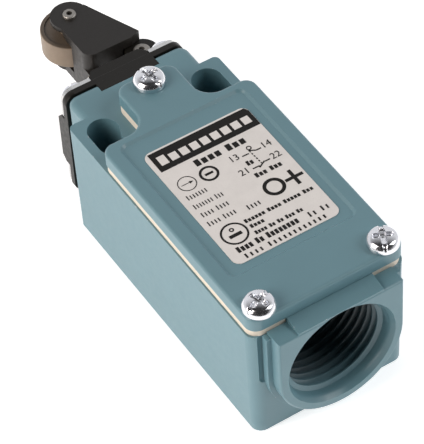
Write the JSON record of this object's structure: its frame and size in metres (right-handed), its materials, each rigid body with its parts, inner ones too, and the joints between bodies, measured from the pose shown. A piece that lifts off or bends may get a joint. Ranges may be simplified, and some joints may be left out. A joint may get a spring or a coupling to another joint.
{
  "type": "limit switch",
  "caption": "Compact metal limit switch with a plunger head, a pivoted roller lever, a screwed cover and a threaded conduit entry.",
  "frame": {"origin": "midpoint between the two mounting holes, on the flat mounting (back) face", "axes": "+Z out of the mounting face through the cover; +Y along the body from the conduit entry toward the roller; +X to the right when the cover is looked at with the roller up"},
  "size_m": [0.0306, 0.0982, 0.0314],
  "materials": {
    "body_paint": "teal-blue enamel over die-cast zinc, fine orange-peel",
    "gasket_rubber": "cream closed-cell rubber",
    "screw_zinc": "bright zinc plate",
    "plate_print": "printed film label",
    "head_plastic": "black glass-filled nylon, moulded grain",
    "seal_rubber": "black nitrile",
    "stainless": "stamped stainless",
    "rivet_steel": "drawn steel tube, satin",
    "lever_plastic": "black glass-filled nylon, semi-gloss",
    "roller_nylon": "natural nylon, turned faces",
    "plunger_steel": "ground stainless",
    "bush_bronze": "sintered bronze",
    "block_phenolic": "dark moulded phenolic",
    "cap_nylon": "light grey nylon",
    "slide_nylon": "red-brown moulded nylon",
    "contact_brass": "brass with silver tips",
    "spring_steel": "music wire"
  },
  "bodies": {
    "body": {"housing": "body_paint", "cover": "body_paint", "cover_gasket": "gasket_rubber", "cover_screws": "screw_zinc", "rating_plate": "plate_print", "head": "head_plastic", "head_seal": "seal_rubber", "head_retainer": "stainless", "head_screws": "screw_zinc", "plunger_bush": "bush_bronze", "plunger_wiper": "seal_rubber", "lever_pivot_pin": "rivet_steel", "plunger_spring": "spring_steel", "contact_base": "block_phenolic", "contact_cap": "cap_nylon", "slide_spring": "spring_steel", "terminal_21": "contact_brass", "terminal_22": "contact_brass", "terminal_13": "contact_brass", "terminal_14": "contact_brass", "terminal_washers": "screw_zinc", "terminal_screws": "screw_zinc", "block_screws": "screw_zinc", "earth_washer": "screw_zinc", "earth_screw": "screw_zinc"},
    "lever": {"lever": "lever_plastic", "roller_rivet": "rivet_steel"},
    "roller": {"roller": "roller_nylon"},
    "plunger": {"plunger": "plunger_steel"},
    "contact_carrier": {"contact_slide": "slide_nylon", "bridge_21_22": "contact_brass", "bridge_13_14": "contact_brass", "leaf_21_22": "spring_steel", "leaf_13_14": "spring_steel"}
  },
  "joints": [
    {"name": "lever_pivot", "type": "hinge", "parent": "body", "child": "lever", "pos_m": [0.0094, 0.0215, 0.0126], "axis": [0, 0, 1], "range_deg": [0, 20], "stiffness_Nm_per_rad": 0.13, "springref_deg": -20.05},
    {"name": "roller_spin", "type": "hinge", "parent": "lever", "child": "roller", "pos_m": [0.0022, 0.035, 0.0126], "axis": [0, 0, 1], "continuous": true},
    {"name": "plunger_travel", "type": "slide", "parent": "body", "child": "plunger", "axis": [0, -1, 0], "range_m": [0, 0.00365], "deforming": ["plunger_spring"]},
    {"name": "carrier_travel", "type": "slide", "parent": "body", "child": "contact_carrier", "axis": [0, -1, 0], "range_m": [0, 0.00365], "deforming": ["slide_spring"]}
  ],
  "couplings": [
    {"joint": "plunger_travel", "follows": "lever_pivot", "m_per_rad": 0.0104},
    {"joint": "carrier_travel", "follows": "lever_pivot", "m_per_rad": 0.0104}
  ]
}
